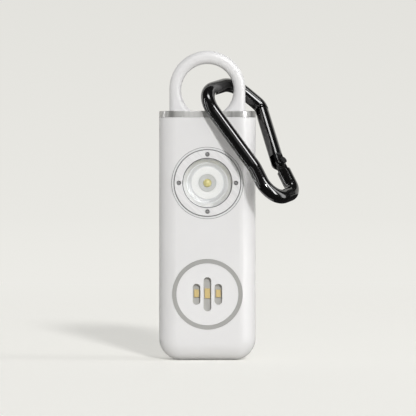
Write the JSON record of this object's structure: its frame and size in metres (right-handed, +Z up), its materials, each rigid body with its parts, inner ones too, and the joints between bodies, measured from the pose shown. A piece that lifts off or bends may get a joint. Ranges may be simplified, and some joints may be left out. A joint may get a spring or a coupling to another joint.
{
  "type": "personal safety alarm",
  "caption": "Slim pull-to-activate safety alarm with a light head, a slotted siren outlet with strobe chips, a pull loop on a taper pin and a spring-gate carabiner.",
  "frame": {"origin": "middle of the flat base the case stands on", "axes": "+Z up the case to the pull loop, -Y out of the face with the light head and siren outlet, +X to the side where the carabiner hangs"},
  "size_m": [0.045, 0.0311, 0.1],
  "materials": {
    "white_case": "satin white moulding",
    "loop_white": "satin white moulding",
    "gasket_rubber": "soft black rubber",
    "screw_steel": "plated steel",
    "band_metal": "satin plated metal",
    "pin_steel": "turned steel",
    "guide_brass": "turned brass",
    "seal_rubber": "soft rubber",
    "switch_black": "moulded black",
    "plunger_plastic": "moulded red",
    "board_green": "solder mask green",
    "coil_ferrite": "dark ferrite with copper winding",
    "capacitor_can": "bare can",
    "chip_black": "moulded black",
    "component_ceramic": "tan ceramic",
    "ring_grey": "flat grey",
    "grille_white": "satin white moulding",
    "mask_grey": "grey solder mask",
    "chip_gold": "yellow phosphor",
    "ribbon_film": "amber film",
    "cup_grey": "moulded grey",
    "spacer_rubber": "firm rubber",
    "sounder_brass": "thin brass",
    "sounder_ceramic": "silvered ceramic",
    "trim_ring_metal": "satin",
    "bezel_metal": "finely brushed",
    "lens_clear": "clear window",
    "reflector_silver": "light moulded reflector",
    "collar_white": "white",
    "led_base_grey": "pale grey ceramic",
    "led_yellow": "yellow dome",
    "led_board_white": "white solder mask",
    "lead_tin": "tinned wire",
    "tray_black": "moulded black",
    "cell_steel": "nickel plated",
    "spring_steel": "spring wire",
    "contact_nickel": "nickel plated strip",
    "pad_foam": "foam",
    "clip_black": "gloss black",
    "gate_black": "gloss black",
    "rivet_metal": "gloss black"
  },
  "bodies": {
    "housing": {"front_housing": "white_case", "rear_cover": "white_case", "cover_gasket": "gasket_rubber", "cover_screws": "screw_steel", "trim_band": "band_metal", "pin_guide": "guide_brass", "pin_seal": "seal_rubber", "trip_switch": "switch_black", "circuit_board": "board_green", "boost_coil": "coil_ferrite", "capacitors": "capacitor_can", "control_chip": "chip_black", "driver_transistor": "chip_black", "small_components": "component_ceramic", "siren_ring": "ring_grey", "siren_grille": "grille_white", "strobe_board": "mask_grey", "strobe_chips": "chip_gold", "strobe_ribbon": "ribbon_film", "siren_cup": "cup_grey", "sounder_spacer": "spacer_rubber", "sounder_disc": "sounder_brass", "sounder_ceramic": "sounder_ceramic", "light_trim_ring": "trim_ring_metal", "light_bezel": "bezel_metal", "light_lens": "lens_clear", "light_reflector": "reflector_silver", "led_collar": "collar_white", "led_base": "led_base_grey", "led_dome": "led_yellow", "led_board": "led_board_white", "led_leads": "lead_tin", "battery_tray": "tray_black", "battery_cells": "cell_steel", "battery_spring": "spring_steel", "positive_contact": "contact_nickel", "negative_contact": "contact_nickel", "battery_pad": "pad_foam"},
    "loop": {"pull_loop": "loop_white", "trip_pin": "pin_steel"},
    "plunger": {"trip_plunger": "plunger_plastic"},
    "carabiner": {"carabiner_body": "clip_black", "gate_rivet": "rivet_metal"},
    "gate": {"carabiner_gate": "gate_black", "gate_spring": "spring_steel"}
  },
  "joints": [
    {"name": "loop_pull", "type": "slide", "parent": "housing", "child": "loop", "axis": [0, 0, 1], "range_m": [0, 0.018]},
    {"name": "plunger_travel", "type": "slide", "parent": "housing", "child": "plunger", "axis": [-1, 0, 0], "range_m": [0, 0.000675]},
    {"name": "carabiner_swing", "type": "hinge", "parent": "loop", "child": "carabiner", "pos_m": [0.01068, 0.0063, 0.0875], "axis": [-0.5464, -0.8151, -0.1923], "range_deg": [0, 90]},
    {"name": "gate_hinge", "type": "hinge", "parent": "carabiner", "child": "gate", "pos_m": [0.02336, -0.00513, 0.06352], "axis": [0.6068, -0.5435, 0.58], "range_deg": [0, 2.5], "stiffness_Nm_per_rad": 0.03, "springref_deg": -22.92}
  ],
  "couplings": [
    {"joint": "plunger_travel", "follows": "loop_pull", "ratio": 0.0375}
  ]
}
